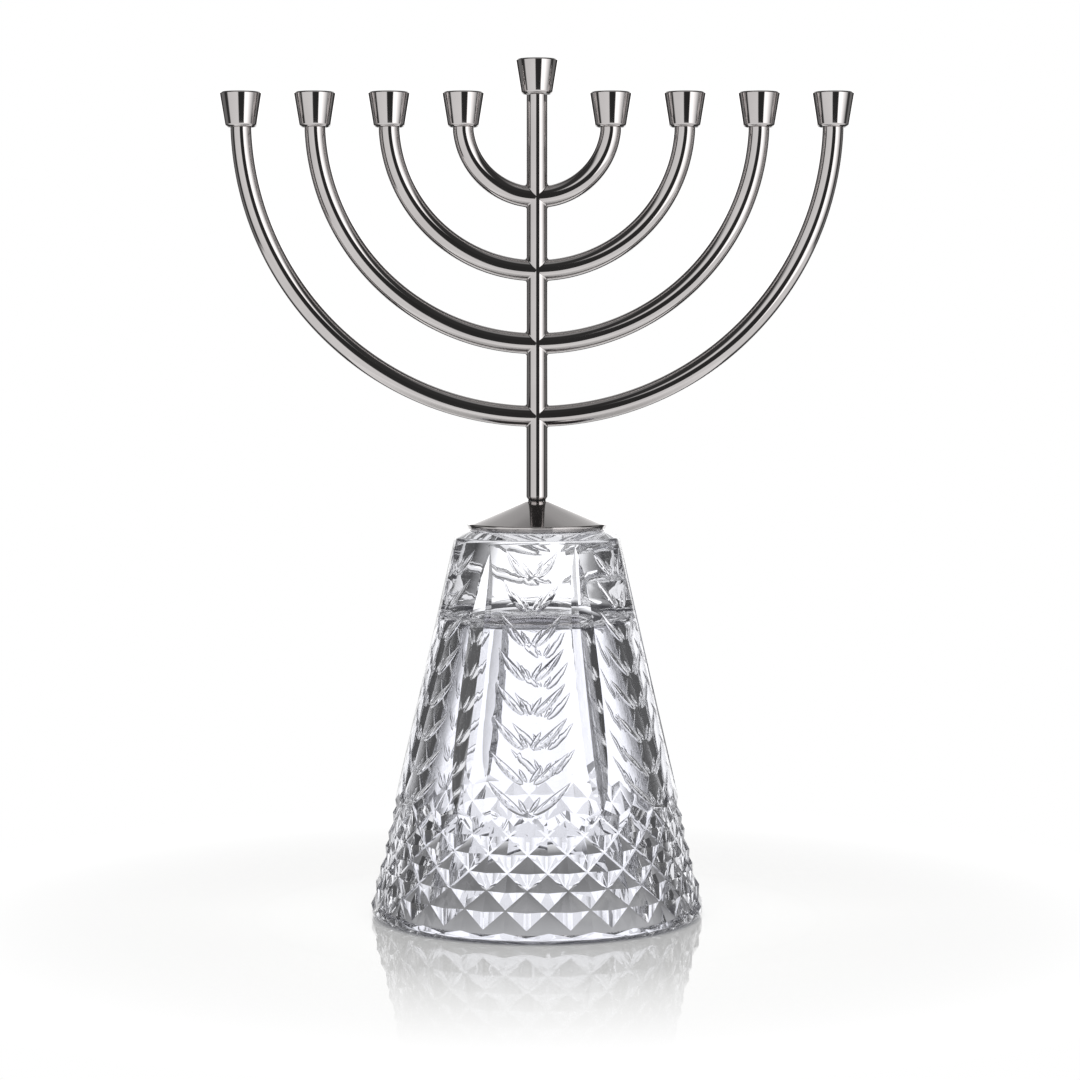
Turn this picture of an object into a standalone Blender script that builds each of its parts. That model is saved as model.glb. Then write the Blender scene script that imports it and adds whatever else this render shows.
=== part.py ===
"""Nine-light menorah on a cut-crystal bell.

A nickel-plated candelabrum (stem, four pairs of bent arms and nine candle cups) screws down on a conical cap
that is bonded to a hollow crystal base. Sizes here are in millimetres and the model is in metres. +Z is up,
the front faces -Y, and the origin is the centre of the foot on the table.
"""

import math

import bmesh
import bpy
from mathutils import Matrix, Vector

MM = 0.001

# Candelabrum
TOTAL_HEIGHT = 329.8
BRANCH_RIM_Z = 317.3
ROD_RADIUS = 4.1
ARM_PAIRS = 4
REACH_STEP = 28.375  # bend radius of the innermost arm, and what each next arm adds
TOP_CROSSING_Z = 276.9
CROSSING_STEP = 27.93
BEND_END_Z = 302.5  # where each arm stops bending and runs straight up
ARM_SIDES = 12
GAP = 0.15  # clearance where two pieces meet

# Candle cup
CUP_HEIGHT = 13.3
CUP_RIM_RADIUS = 8.1
CUP_BASE_RADIUS = 6.05
BORE_MOUTH_RADIUS = 5.9
BORE_FLOOR_RADIUS = 5.0
FLOOR_ABOVE_BASE = 3.6
SOCKET_RADIUS = 2.75
SOCKET_DEPTH = 2.6
SPIGOT_RADIUS = 2.6
SPIGOT_LENGTH = 2.4

# Arm roots in the stem
ROOT_RADIUS = 1.85
ROOT_HOLE_RADIUS = 2.0
ROOT_END_X = 0.9
COPE_RADIUS = 4.2

# Threaded joint under the stem
STEM_BOTTOM_Z = 161.1
STUD_RADIUS = 2.3
TAPPED_RADIUS = 2.45
STUD_IN_STEM = 8.0
STUD_IN_CAP = 5.8
WASHER_THICKNESS = 0.4
WASHER_RADIUS = 3.5
WASHER_HOLE_RADIUS = 2.6
WASHER_GAP = 0.05

# Cap
CAP_TOP_Z = 160.6
CAP_RIM_RADIUS = 26.9
CAP_RIM_Z = 151.9
CAP_FOOT_RADIUS = 26.2
CAP_FOOT_Z = 149.8
BOND_RADIUS = 24.0
BOND_THICKNESS = 0.2

# Crystal
SEAT_Z = 149.5
CONE_TOP_Z = 143.4
CONE_TOP_RADIUS = 32.5
CONE_TAPER = 0.2287  # radius gained per unit of drop
CRYSTAL_TURN = math.radians(-3.5)  # bonded a little out of line with the arms
COLUMNS = 48
LATTICE_TOP_Z = 45.0
LATTICE_TIPS = (55.0, 56.4, 57.8, 59.3, 60.9, 63.1, 64.5)  # radii of the diamonds' points
DIAMOND_RATIO = 0.115  # half a diamond's height, per unit of radius, so that every diamond has the same shape
LATTICE_DEPTH = 1.9
RUNOUT = 3.5
WALL = 10.6
CEILING_Z = 118.3

# Flutes, as (height, depth) down the middle of one flute
FLUTES = 6
FLUTE_PATH = ((147.0, -0.3), (144.4, 0.1), (133.4, 1.7), (111.3, 2.3), (58.9, 2.5), (50.8, 1.4), (44.2, -0.3))
FLUTE_HALF_ANGLE = math.radians(57.0)
FLUTE_CLEAR = 2.0


def clear_scene():
    for item in list(bpy.data.objects):
        bpy.data.objects.remove(item)


def new_collection(name):
    made = bpy.data.collections.new(name)
    bpy.context.scene.collection.children.link(made)
    return made


def new_material(name, colour, roughness, metallic=0.0, transmission=0.0):
    made = bpy.data.materials.new(name)
    made.use_nodes = True
    shader = made.node_tree.nodes["Principled BSDF"]
    shader.inputs["Base Color"].default_value = (*colour, 1.0)
    shader.inputs["Roughness"].default_value = roughness
    shader.inputs["Metallic"].default_value = metallic
    shader.inputs["Transmission Weight"].default_value = transmission
    return made


def nickel(name):
    return new_material(name, (0.62, 0.61, 0.59), 0.08, metallic=1.0)


def add_object(name, mesh, group, finish=None):
    made = bpy.data.objects.new(name, mesh)
    group.objects.link(made)
    if finish:
        mesh.materials.append(finish)
    return made


def turned(name, profile, group, finish=None, steps=24, ring=False, x=0.0):
    """A turned piece. The profile is (radius, height) pairs down its outer side; a ring's profile closes."""
    points = [Vector((radius, 0.0, z)) * MM for radius, z in profile]
    edges = [(i, i + 1) for i in range(len(points) - 1)]
    if ring:
        edges.append((len(points) - 1, 0))
    mesh = bpy.data.meshes.new(name)
    mesh.from_pydata(points, edges, [])
    made = add_object(name, mesh, group, finish)
    made.location.x = x * MM
    turn = made.modifiers.new("Turn", "SCREW")
    turn.steps = turn.render_steps = steps
    turn.use_merge_vertices = True
    turn.merge_threshold = 1e-5
    turn.use_smooth_shade = True
    return made


def rod(name, radius, start, end, group, sides=24):
    """A capped cylinder from start to end."""
    start, end = Vector(start) * MM, Vector(end) * MM
    form = bmesh.new()
    bmesh.ops.create_cone(
        form,
        cap_ends=True,
        segments=sides,
        radius1=radius * MM,
        radius2=radius * MM,
        depth=(end - start).length,
        matrix=Matrix.Translation((start + end) / 2) @ (end - start).to_track_quat("Z", "Y").to_matrix().to_4x4(),
    )
    mesh = bpy.data.meshes.new(name)
    form.to_mesh(mesh)
    form.free()
    return add_object(name, mesh, group)


def cutter(made):
    made.hide_render = True
    made.display_type = "WIRE"
    return made


def boolean(made, other, operation):
    step = made.modifiers.new(f"{operation.title()} {other.name}", "BOOLEAN")
    step.operation = operation
    step.solver = "EXACT"
    step.object = other


def cone_radius(z):
    return CONE_TOP_RADIUS + CONE_TAPER * (CONE_TOP_Z - z)


def crossing_z(pair):
    return TOP_CROSSING_Z - CROSSING_STEP * (pair - 1)


def arm_reach(pair):
    """How far out the arm's upright end and its cup stand."""
    bend = REACH_STEP * pair
    rise = BEND_END_Z - crossing_z(pair)
    return math.sqrt(bend**2 - (bend - rise) ** 2)


def crystal_rings():
    """Rings of points from the seat to the foot's edge, as (height, even radius, odd radius, valley parity)."""
    rings = [(z, r, r, None) for z, r in ((SEAT_Z, 26.3), (149.1, 27.1), (147.1, 31.1), (146.4, 31.8))]
    rings += [(z, cone_radius(z), cone_radius(z), None) for z in (145.4, LATTICE_TOP_Z + RUNOUT)]
    z = LATTICE_TOP_Z
    for row, tip in enumerate(LATTICE_TIPS):
        radii = [tip, tip]
        radii[row % 2] -= LATTICE_DEPTH
        rings.append((z, *radii, row % 2))
        z -= DIAMOND_RATIO * tip
    return rings + [(z, r, r, None) for z, r in ((2.2, 64.4), (0.7, 63.8), (0.0, 62.9))]


def split_falls_right(upper_valley, lower_valley, column):
    """Which diagonal halves a cell: the groove's within the diamonds, and clear of the groove at their edges."""
    if lower_valley is None:
        return upper_valley != column % 2
    if upper_valley is None:
        return lower_valley == column % 2
    return upper_valley == column % 2


def crystal_outside(name, group, finish):
    """The solid outside of the crystal: plain cone, band of diamonds cut by crossing V-grooves, rounded foot."""
    rings = crystal_rings()
    form = bmesh.new()
    rows = []
    for z, even, odd, _ in rings:
        row = []
        for column in range(COLUMNS):
            angle = CRYSTAL_TURN + column * math.tau / COLUMNS
            radius = (even, odd)[column % 2]
            row.append(form.verts.new(Vector((radius * math.sin(angle), -radius * math.cos(angle), z)) * MM))
        rows.append(row)
    for index in range(len(rows) - 1):
        upper_valley, lower_valley = rings[index][3], rings[index + 1][3]
        for column in range(COLUMNS):
            after = (column + 1) % COLUMNS
            a, b = rows[index][column], rows[index + 1][column]
            c, d = rows[index + 1][after], rows[index][after]
            if upper_valley is None and lower_valley is None:
                form.faces.new((a, b, c, d))
            elif split_falls_right(upper_valley, lower_valley, column):
                form.faces.new((a, b, c))
                form.faces.new((a, c, d))
            else:
                form.faces.new((a, b, d))
                form.faces.new((b, c, d))
    form.faces.new(reversed(rows[0]))
    form.faces.new(rows[-1])
    bmesh.ops.recalc_face_normals(form, faces=form.faces)
    mesh = bpy.data.meshes.new(name)
    form.to_mesh(mesh)
    form.free()
    return add_object(name, mesh, group, finish)


def flute_cutter(name, angle, group):
    """A long V-shaped cutter, deep in the middle and fading out at both ends."""
    form = bmesh.new()
    stations = []
    for z, depth in FLUTE_PATH:
        half_width = (depth + FLUTE_CLEAR) * math.tan(FLUTE_HALF_ANGLE)
        outer, inner = cone_radius(z) + FLUTE_CLEAR, cone_radius(z) - depth
        section = ((-half_width, -outer), (half_width, -outer), (0.0, -inner))
        stations.append([form.verts.new(Vector((x, y, z)) * MM) for x, y in section])
    for upper, lower in zip(stations, stations[1:]):
        for side in range(3):
            after = (side + 1) % 3
            form.faces.new((upper[side], upper[after], lower[after], lower[side]))
    form.faces.new(stations[0])
    form.faces.new(stations[-1])
    bmesh.ops.recalc_face_normals(form, faces=form.faces)
    form.transform(Matrix.Rotation(angle, 4, "Z"))
    mesh = bpy.data.meshes.new(name)
    form.to_mesh(mesh)
    form.free()
    return cutter(add_object(name, mesh, group))


def build_crystal(group, cutters):
    finish = new_material("crystal", (1.0, 1.0, 1.0), 0.0, transmission=1.0)
    base = crystal_outside("crystal_base", group, finish)
    shoulder_z = CEILING_Z - 7.0
    inside = (
        (0.0, CEILING_Z),
        (23.5, CEILING_Z),
        (26.8, CEILING_Z - 1.4),
        (28.6, CEILING_Z - 4.0),
        (cone_radius(shoulder_z) - WALL, shoulder_z),
        (cone_radius(1.0) - WALL, 1.0),
        (cone_radius(0.0) - WALL + 1.0, -0.5),
        (0.0, -0.5),
    )
    cavity = cutter(turned("cavity", inside, cutters, steps=36))
    for index in range(FLUTES):
        angle = CRYSTAL_TURN + (index + 0.5) * math.tau / FLUTES
        boolean(base, flute_cutter(f"flute_{index + 1}", angle, cutters), "DIFFERENCE")
    boolean(base, cavity, "DIFFERENCE")
    return base


def build_bond_film(group):
    finish = new_material("clear_adhesive", (0.95, 0.95, 0.95), 0.1, transmission=0.9)
    low = (SEAT_Z + CAP_FOOT_Z - BOND_THICKNESS) / 2
    high = low + BOND_THICKNESS
    profile = ((0.0, high), (BOND_RADIUS, high), (BOND_RADIUS, low), (0.0, low))
    return turned("bond_film", profile, group, finish)


def build_base_cap(group):
    hole_floor_z = CAP_TOP_Z - STUD_IN_CAP - 2.0
    profile = (
        (0.0, hole_floor_z),
        (TAPPED_RADIUS, hole_floor_z),
        (TAPPED_RADIUS, CAP_TOP_Z),
        (ROD_RADIUS, CAP_TOP_Z),
        (CAP_RIM_RADIUS - 0.5, CAP_RIM_Z + 0.1),
        (CAP_RIM_RADIUS, CAP_RIM_Z - 0.3),
        (CAP_FOOT_RADIUS + 0.2, CAP_FOOT_Z + 0.2),
        (CAP_FOOT_RADIUS - 0.2, CAP_FOOT_Z),
        (0.0, CAP_FOOT_Z),
    )
    return turned("base_cap", profile, group, nickel("base_cap"), steps=40)


def build_stem_washer(group):
    finish = new_material("nylon", (0.03, 0.03, 0.03), 0.5)
    low = CAP_TOP_Z + WASHER_GAP
    high = low + WASHER_THICKNESS
    corners = (
        (WASHER_HOLE_RADIUS, high),
        (WASHER_RADIUS, high),
        (WASHER_RADIUS, low),
        (WASHER_HOLE_RADIUS, low),
    )
    return turned("stem_washer", corners, group, finish, ring=True)


def build_stem_stud(group):
    finish = new_material("steel", (0.5, 0.5, 0.52), 0.35, metallic=1.0)
    high = STEM_BOTTOM_Z + STUD_IN_STEM
    low = CAP_TOP_Z - STUD_IN_CAP
    profile = (
        (0.0, high),
        (STUD_RADIUS - 0.4, high),
        (STUD_RADIUS, high - 0.4),
        (STUD_RADIUS, low + 0.4),
        (STUD_RADIUS - 0.4, low),
        (0.0, low),
    )
    return turned("stem_stud", profile, group, finish, steps=20)


def build_stem(group, cutters):
    """The upright rod, with the crossing arms' holes, the stud's hole below and the middle cup's spigot on top."""
    shoulder_z = TOTAL_HEIGHT - CUP_HEIGHT - GAP
    bore_end_z = STEM_BOTTOM_Z + STUD_IN_STEM + 0.5
    profile = (
        (0.0, shoulder_z + SPIGOT_LENGTH),
        (SPIGOT_RADIUS, shoulder_z + SPIGOT_LENGTH),
        (SPIGOT_RADIUS, shoulder_z),
        (ROD_RADIUS, shoulder_z),
        (ROD_RADIUS, STEM_BOTTOM_Z + 1.0),
        (ROD_RADIUS - 0.3, STEM_BOTTOM_Z + 0.3),
        (ROD_RADIUS - 1.0, STEM_BOTTOM_Z),
        (TAPPED_RADIUS, STEM_BOTTOM_Z),
        (TAPPED_RADIUS, bore_end_z),
        (0.0, bore_end_z),
    )
    stem = turned("stem", profile, group, nickel("stem"))
    for pair in range(1, ARM_PAIRS + 1):
        z = crossing_z(pair)
        ends = ((-2 * ROD_RADIUS, 0.0, z), (2 * ROD_RADIUS, 0.0, z))
        hole = rod(f"crossing_{pair}", ROOT_HOLE_RADIUS, *ends, cutters, sides=16)
        boolean(stem, cutter(hole), "DIFFERENCE")
    return stem


def bent_tube(name, points, group):
    """A round bar along the points, as a closed mesh."""
    curve = bpy.data.curves.new(name, "CURVE")
    curve.dimensions = "3D"
    curve.bevel_depth = ROD_RADIUS * MM
    curve.bevel_resolution = ARM_SIDES // 2 - 2
    curve.use_fill_caps = True
    spline = curve.splines.new("POLY")
    spline.points.add(len(points) - 1)
    for point, place in zip(spline.points, points):
        point.co = (*(Vector(place) * MM), 1.0)
    path = add_object(name, curve, group)
    bpy.context.view_layer.update()
    mesh = bpy.data.meshes.new_from_object(path.evaluated_get(bpy.context.evaluated_depsgraph_get()))
    bpy.data.objects.remove(path)
    form = bmesh.new()
    form.from_mesh(mesh)
    bmesh.ops.remove_doubles(form, verts=form.verts, dist=1e-6)
    form.to_mesh(mesh)
    form.free()
    mesh.shade_smooth()
    mesh.set_sharp_from_angle(angle=math.radians(40.0))
    return add_object(name, mesh, group)


def build_arm(name, side, pair, group, cutters):
    """A quarter-circle arm, coped to the stem, with a spigot into the stem and one into its cup."""
    bend = REACH_STEP * pair
    low_z = crossing_z(pair)
    centre_z = low_z + bend
    top_z = BRANCH_RIM_Z - CUP_HEIGHT - GAP
    first = math.asin(0.5 / bend)
    last = math.acos((centre_z - BEND_END_Z) / bend)
    count = 6 + 2 * pair
    angles = [first + (last - first) * i / count for i in range(count + 1)]
    points = [(side * bend * math.sin(a), 0.0, centre_z - bend * math.cos(a)) for a in angles]
    reach = side * arm_reach(pair)
    points.append((reach, 0.0, top_z))
    arm = bent_tube(name, points, group)
    arm.data.materials.append(nickel(name))
    cope = rod(f"{name}_cope", COPE_RADIUS, (0.0, 0.0, low_z - 10), (0.0, 0.0, low_z + 10), cutters, sides=32)
    root_start, root_end = (side * ROOT_END_X, 0.0, low_z), (side * 2 * ROD_RADIUS, 0.0, low_z)
    root = rod(f"{name}_root", ROOT_RADIUS, root_start, root_end, cutters, sides=12)
    tip_start, tip_end = (reach, 0.0, top_z - 1.0), (reach, 0.0, top_z + SPIGOT_LENGTH)
    tip = rod(f"{name}_tip", SPIGOT_RADIUS, tip_start, tip_end, cutters, sides=12)
    boolean(arm, cutter(cope), "DIFFERENCE")
    boolean(arm, cutter(root), "UNION")
    boolean(arm, cutter(tip), "UNION")
    return arm


def build_cup(name, x, rim_z, group):
    base_z = rim_z - CUP_HEIGHT
    profile = (
        (0.0, base_z + FLOOR_ABOVE_BASE),
        (BORE_FLOOR_RADIUS, base_z + FLOOR_ABOVE_BASE),
        (BORE_MOUTH_RADIUS, rim_z),
        (CUP_RIM_RADIUS, rim_z),
        (CUP_BASE_RADIUS, base_z + 0.7),
        (CUP_BASE_RADIUS - 0.9, base_z),
        (SOCKET_RADIUS, base_z),
        (SOCKET_RADIUS, base_z + SOCKET_DEPTH),
        (0.0, base_z + SOCKET_DEPTH),
    )
    return turned(name, profile, group, nickel(name), steps=20, x=x)


def main():
    clear_scene()
    bpy.context.scene.unit_settings.system = "METRIC"
    group = new_collection("menorah")
    cutters = new_collection("cutters")
    build_crystal(group, cutters)
    build_bond_film(group)
    build_base_cap(group)
    build_stem_washer(group)

    turning = [build_stem_stud(group), build_stem(group, cutters)]
    turning.append(build_cup("cup_center", 0.0, TOTAL_HEIGHT, group))
    for word, side in (("left", -1), ("right", 1)):
        for pair in range(1, ARM_PAIRS + 1):
            turning.append(build_arm(f"arm_{word}_{pair}", side, pair, group, cutters))
            turning.append(build_cup(f"cup_{word}_{pair}", side * arm_reach(pair), BRANCH_RIM_Z, group))

    axis = add_object("candelabrum", None, group)
    for piece in turning:
        piece.parent = axis


main()
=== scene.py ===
"""The looks of the nine-light menorah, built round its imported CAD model.

Sizes named here are in millimetres and the model is in metres. +Z is up and the front faces -Y. Angles round
the stem are measured from the front, towards +X.
"""

import math

import bmesh
import bpy
import numpy as np
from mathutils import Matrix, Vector
from mathutils.geometry import delaunay_2d_cdt


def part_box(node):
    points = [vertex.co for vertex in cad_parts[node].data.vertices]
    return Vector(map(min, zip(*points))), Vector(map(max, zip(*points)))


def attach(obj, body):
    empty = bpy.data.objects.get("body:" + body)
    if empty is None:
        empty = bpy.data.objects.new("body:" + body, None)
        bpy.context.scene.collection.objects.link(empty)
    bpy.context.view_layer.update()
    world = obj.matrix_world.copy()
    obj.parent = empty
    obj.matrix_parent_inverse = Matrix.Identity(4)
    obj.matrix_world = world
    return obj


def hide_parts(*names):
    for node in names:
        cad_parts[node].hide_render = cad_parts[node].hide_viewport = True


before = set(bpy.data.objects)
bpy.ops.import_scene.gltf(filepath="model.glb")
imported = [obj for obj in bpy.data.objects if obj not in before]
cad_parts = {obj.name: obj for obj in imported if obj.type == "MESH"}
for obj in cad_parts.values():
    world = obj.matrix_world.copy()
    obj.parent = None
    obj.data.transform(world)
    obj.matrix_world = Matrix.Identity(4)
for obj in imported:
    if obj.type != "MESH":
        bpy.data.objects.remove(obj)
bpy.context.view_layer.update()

MM = 0.001

# Candelabrum
ARM_PAIRS = 4
STEM_SIDES = 72
ARM_SIDES = 40
STRAIGHT_END = 1.5  # the arms run straight up for this much below their cups
FILLET = 0.75  # radius of the braze where arms and stem meet
FILLET_SECTIONS = 48
FILLET_STEPS = 6
SPIGOT_RADIUS = 2.6
SPIGOT_LENGTH = 2.4
SOCKET_RADIUS = 2.75
SOCKET_DEPTH = 2.6
BORE_MOUTH_RADIUS = 5.9
BORE_FLOOR_RADIUS = 5.0
BORE_FLOOR_RISE = 3.6  # from the cup's base to the floor of its candle bore
TAPPED_RADIUS = 2.45
CAP_TOP_RADIUS = 4.1
CAP_HOLE_DEPTH = 7.8
STEM_HOLE_DEPTH = 8.5
WASHER_HOLE_RADIUS = 2.6
WASHER_BEVEL = 0.12
THREAD_PITCH = 0.8
THREAD_DEPTH = 0.42
STUD_SIDES = 48
STUD_ROWS = 8  # to each turn of the thread

# Crystal
CONE_TOP_Z = 143.4
CONE_TOP_RADIUS = 32.5
CONE_TAPER = 0.2287
PANEL_TOP_Z = 145.4
CRYSTAL_TOP_Z = 149.5
CRYSTAL_TURN = math.radians(-3.5)
PANELS = 6
COLUMNS = 48
FINE = 3  # fine columns to each lattice column, on the smooth rings
SMOOTH = COLUMNS * FINE
HALF_PANEL = math.pi / PANELS
PANEL_COLUMNS = COLUMNS // PANELS
COLUMN_ANGLE = math.tau / COLUMNS
VALLEY_ANGLES = [c * math.tau / COLUMNS for c in range(-4, 5, 2)]  # of the lattice's top row, on one panel
LATTICE_TOP_Z = 45.0
LATTICE_TIPS = (CONE_TOP_RADIUS + CONE_TAPER * (CONE_TOP_Z - LATTICE_TOP_Z), 56.4, 57.8, 59.3, 60.9, 63.1, 64.5)
DIAMOND_RATIO = 0.115  # half a diamond's height, per unit of radius
LATTICE_DEPTH = 2.05
GROOVE_FLOOR = 0.42  # half the width of a groove's flat floor
RUNOUT = 3.5  # how far the top row's valleys run out above it
LAST_VALLEY = 0.85  # the valleys of the lowest row, as a share of the others' depth
WALL = 10.6
CEILING_Z = 118.3
DOME_RISE = 2.7
SHOULDER_DROP = 7.0  # from the ceiling's edge to where the hollow's straight wall ends

# Down the middle of a flute, as (height, depth).
FLUTE_PATH = (
    (147.0, -0.3), (144.4, 0.1), (133.4, 1.7), (116.0, 2.55),
    (90.0, 2.85), (66.0, 2.6), (54.0, 1.8), (44.0, -0.4),
)
FLUTE_SLOPE = 1.0 / math.tan(math.radians(61.0))

# Leaves
LEAF_STEP = 12.6
LEAF_PAIRS = 8
LEAF_DEPTH = 1.1
LEAF_FULL_WIDTH = 2.6  # a narrower leaf is cut less deep
LEAF_LINES = (1.0, 0.86, 0.64, 0.34)  # where the section of a leaf is drawn, as shares of its half width
LEAF_RANGE = 12.0  # no leaf reaches further up or down from its middle
FIRST_LEAF_RISE = 1.6
LEAF_RISE = 11.8
LAST_LEAF_RISE = 10.0
LEAF_ROOT = (1.9, 0.3)
SMALL_LEAF_ROOT = (0.45, 1.0)
# Each side, then its leaf's reach and extra rise, then its small leaf's reach and rise.
LEAF_SIDES = ((-1, 12.7, 0.4, 3.6, 6.0), (1, 13.0, 0.0, 4.5, 6.9))
REST_RADIUS = 43.5  # where the leaves' sideways sizes are stated

# Rings of the crystal's smooth parts, as (radius, height). The dome's heights are from the ceiling's.
FOOT_RINGS = ((64.3, 2.7), (64.3, 1.8), (64.15, 1.45), (63.1, 0.25), (62.85, 0.07), (62.5, 0.0))
DOME_RINGS = (
    (29.05, -5.9), (28.4, -4.7), (27.2, -3.5), (25.0, -2.2), (22.0, -0.9),
    (18.5, 0.35), (14.5, 1.35), (10.0, 2.1), (5.0, 2.55),
)
CROWN_RINGS = (
    (31.78, 146.3), (31.5, 146.75), (31.0, 147.1), (27.2, 149.0), (26.8, 149.25), (26.3, 149.42),
    (25.7, CRYSTAL_TOP_Z), (17.0, CRYSTAL_TOP_Z), (8.0, CRYSTAL_TOP_Z),
)

# Studio, in metres
FLOOR_Z = -0.0002
FLOOR_RADIUS = 0.27
SWEEP_RADIUS = 6.0
DISC_SIDES = 96
SKY_STRENGTH = 2.0
CAMERA_PLACE = (0.00116, -1.1192, 0.21684)
CAMERA_TILT = math.radians(86.35)
CAMERA_LENS = 96.667

# What the metal sees round it, as (angle, brightness), up to the sky's strength.
SOFTBOXES = (
    (-180, 0.06), (-173, 0.06), (-170, 0.85), (-154, 0.75), (-151, 0.05), (-129, 0.05), (-126, 0.22),
    (-98, 0.2), (-94, 0.04), (-76, 0.05), (-69, 0.85), (-11, 0.93), (-7, 0.035), (25, 0.03), (29, 1.9),
    (48, 1.75), (80, 0.5), (86, 0.06), (102, 0.05), (105, 0.22), (126, 0.2), (129, 0.05), (152, 0.05),
    (155, 1.2), (171, 1.0), (174, 0.06), (180, 0.06),
)
BACKDROP_SHARE = ((-180, 1.0), (-160, 1.0), (-152, 0.0), (152, 0.0), (160, 1.0), (180, 1.0))
BELOW = ((-180, 0.05), (-120, 0.05), (-100, 0.9), (100, 0.9), (120, 0.05), (180, 0.05))
OVERHEAD = ((-180, 0.10), (-90, 0.05), (0, 0.04), (90, 0.05), (180, 0.10))
# The backdrop up from the horizon, as (upward share of the direction, share of the sky's strength).
BACKDROP = ((0.0, 0.97), (0.24, 0.97), (0.33, 0.44), (0.42, 0.33), (0.55, 0.25), (0.70, 0.225), (0.80, 0.1))
# What is seen round it through the crystal, as (angle, brightness).
THROUGH_CRYSTAL = (
    (-180, 1.3), (-161, 1.3), (-152, 0.4), (-140, 0.08), (-106, 0.06), (-100, 0.9), (-70, 0.9), (-64, 0.08),
    (-26, 0.08), (-20, 0.9), (20, 0.9), (26, 0.08), (64, 0.08), (70, 0.9), (96, 0.9), (102, 0.08), (140, 0.08),
    (152, 0.4), (161, 1.3), (180, 1.3),
)
# Painted shade: the glowing greys that the floor shows only to rays through the crystal, in place of its lit
# shade, from before the foot to behind it, as (position, brightness).
PAINTED_FLOOR_SHADE_THROUGH_CRYSTAL = ((0.07, 0.46), (0.25, 0.29), (0.38, 0.2), (0.53, 0.23), (0.6, 0.95), (1.0, 0.95))


# ---------------------------------------------------------------- meshes


def face_outward(form):
    """Turns the faces of each closed shell outward."""
    bmesh.ops.recalc_face_normals(form, faces=form.faces)
    seen = set()
    for start in form.faces:
        if start in seen:
            continue
        shell, edge = [], [start]
        seen.add(start)
        while edge:
            face = edge.pop()
            shell.append(face)
            for side in face.edges:
                for other in side.link_faces:
                    if other not in seen:
                        seen.add(other)
                        edge.append(other)
        volume = sum(f.calc_center_median().dot(f.normal) * f.calc_area() for f in shell)
        if volume < 0:
            bmesh.ops.reverse_faces(form, faces=shell)


def add_piece(name, points, faces, material, body, node, sharp=30.0):
    """A closed mesh, in millimetres, that rides on a body and stands for a CAD node, if one is named."""
    mesh = bpy.data.meshes.new(name)
    mesh.from_pydata([Vector(p) * MM for p in points], [], faces)
    form = bmesh.new()
    form.from_mesh(mesh)
    bmesh.ops.remove_doubles(form, verts=form.verts, dist=1e-6)
    form.normal_update()
    face_outward(form)
    form.to_mesh(mesh)
    form.free()
    mesh.shade_smooth()
    mesh.set_sharp_from_angle(angle=math.radians(sharp))
    mesh.materials.append(material)
    made = bpy.data.objects.new(name, mesh)
    bpy.context.scene.collection.objects.link(made)
    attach(made, body)
    if node:
        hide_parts(node)
    return made


def softened(profile, steps=4):
    """The profile's (radius, height, bevel) corners, each an arc that starts a bevel's length away."""
    points = []
    count = len(profile)
    for index, (r, z, bevel) in enumerate(profile):
        if not bevel or index in (0, count - 1):
            points.append((r, z))
            continue
        corner = np.array((r, z))
        before = np.array(profile[index - 1][:2]) - corner
        after = np.array(profile[index + 1][:2]) - corner
        start = corner + before / np.linalg.norm(before) * bevel
        end = corner + after / np.linalg.norm(after) * bevel
        for i in range(steps + 1):
            t = i / steps
            points.append(tuple((1 - t) ** 2 * start + 2 * t * (1 - t) * corner + t**2 * end))
    return points


def turned(name, profile, material, body, node, steps=96, x=0.0, ring=False):
    """A turned piece from (radius, height, bevel) corners. Its ends are on the axis, unless it is a ring."""
    points, rows = [], []
    for r, z in softened(profile):
        if r < 1e-9:
            rows.append([len(points)] * steps)
            points.append((x, 0.0, z))
            continue
        rows.append(list(range(len(points), len(points) + steps)))
        for i in range(steps):
            a = math.tau * i / steps
            points.append((x + r * math.cos(a), r * math.sin(a), z))
    pairs = list(zip(rows, rows[1:]))
    if ring:
        pairs.append((rows[-1], rows[0]))
    faces = []
    for low, high in pairs:
        for i in range(steps):
            j = (i + 1) % steps
            face = []
            for corner in (low[i], low[j], high[j], high[i]):
                if corner not in face:
                    face.append(corner)
            if len(face) > 2:
                faces.append(face)
    return add_piece(name, points, faces, material, body, node)


def swept(sections):
    """Points and faces of a closed form through the sections, each a loop of the same number of points."""
    sides = len(sections[0])
    points = [p for section in sections for p in section]
    faces = []
    for row in range(len(sections) - 1):
        for i in range(sides):
            j = (i + 1) % sides
            a, b = row * sides + i, row * sides + j
            faces.append((a, b, b + sides, a + sides))
    faces.append(tuple(reversed(range(sides))))
    faces.append(tuple(range(len(points) - sides, len(points))))
    return points, faces


# ---------------------------------------------------------------- materials


def new_material(name):
    made = bpy.data.materials.new(name)
    made.use_nodes = True
    tree = made.node_tree
    return made, tree.nodes, tree.links, tree.nodes["Principled BSDF"]


def noise(nodes, links, coordinates, scale, detail=3.0, roughness=0.5, stretch=None):
    """A noise texture's factor, on the object's own coordinates in metres."""
    if stretch:
        mapping = nodes.new("ShaderNodeMapping")
        mapping.inputs["Scale"].default_value = stretch
        links.new(coordinates, mapping.inputs["Vector"])
        coordinates = mapping.outputs["Vector"]
    made = nodes.new("ShaderNodeTexNoise")
    made.inputs["Scale"].default_value = scale
    made.inputs["Detail"].default_value = detail
    made.inputs["Roughness"].default_value = roughness
    links.new(coordinates, made.inputs["Vector"])
    return made.outputs["Fac"]


def mapped(nodes, links, value, low, high, to_low, to_high):
    made = nodes.new("ShaderNodeMapRange")
    made.inputs["From Min"].default_value = low
    made.inputs["From Max"].default_value = high
    made.inputs["To Min"].default_value = to_low
    made.inputs["To Max"].default_value = to_high
    links.new(value, made.inputs["Value"])
    return made.outputs["Result"]


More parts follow.
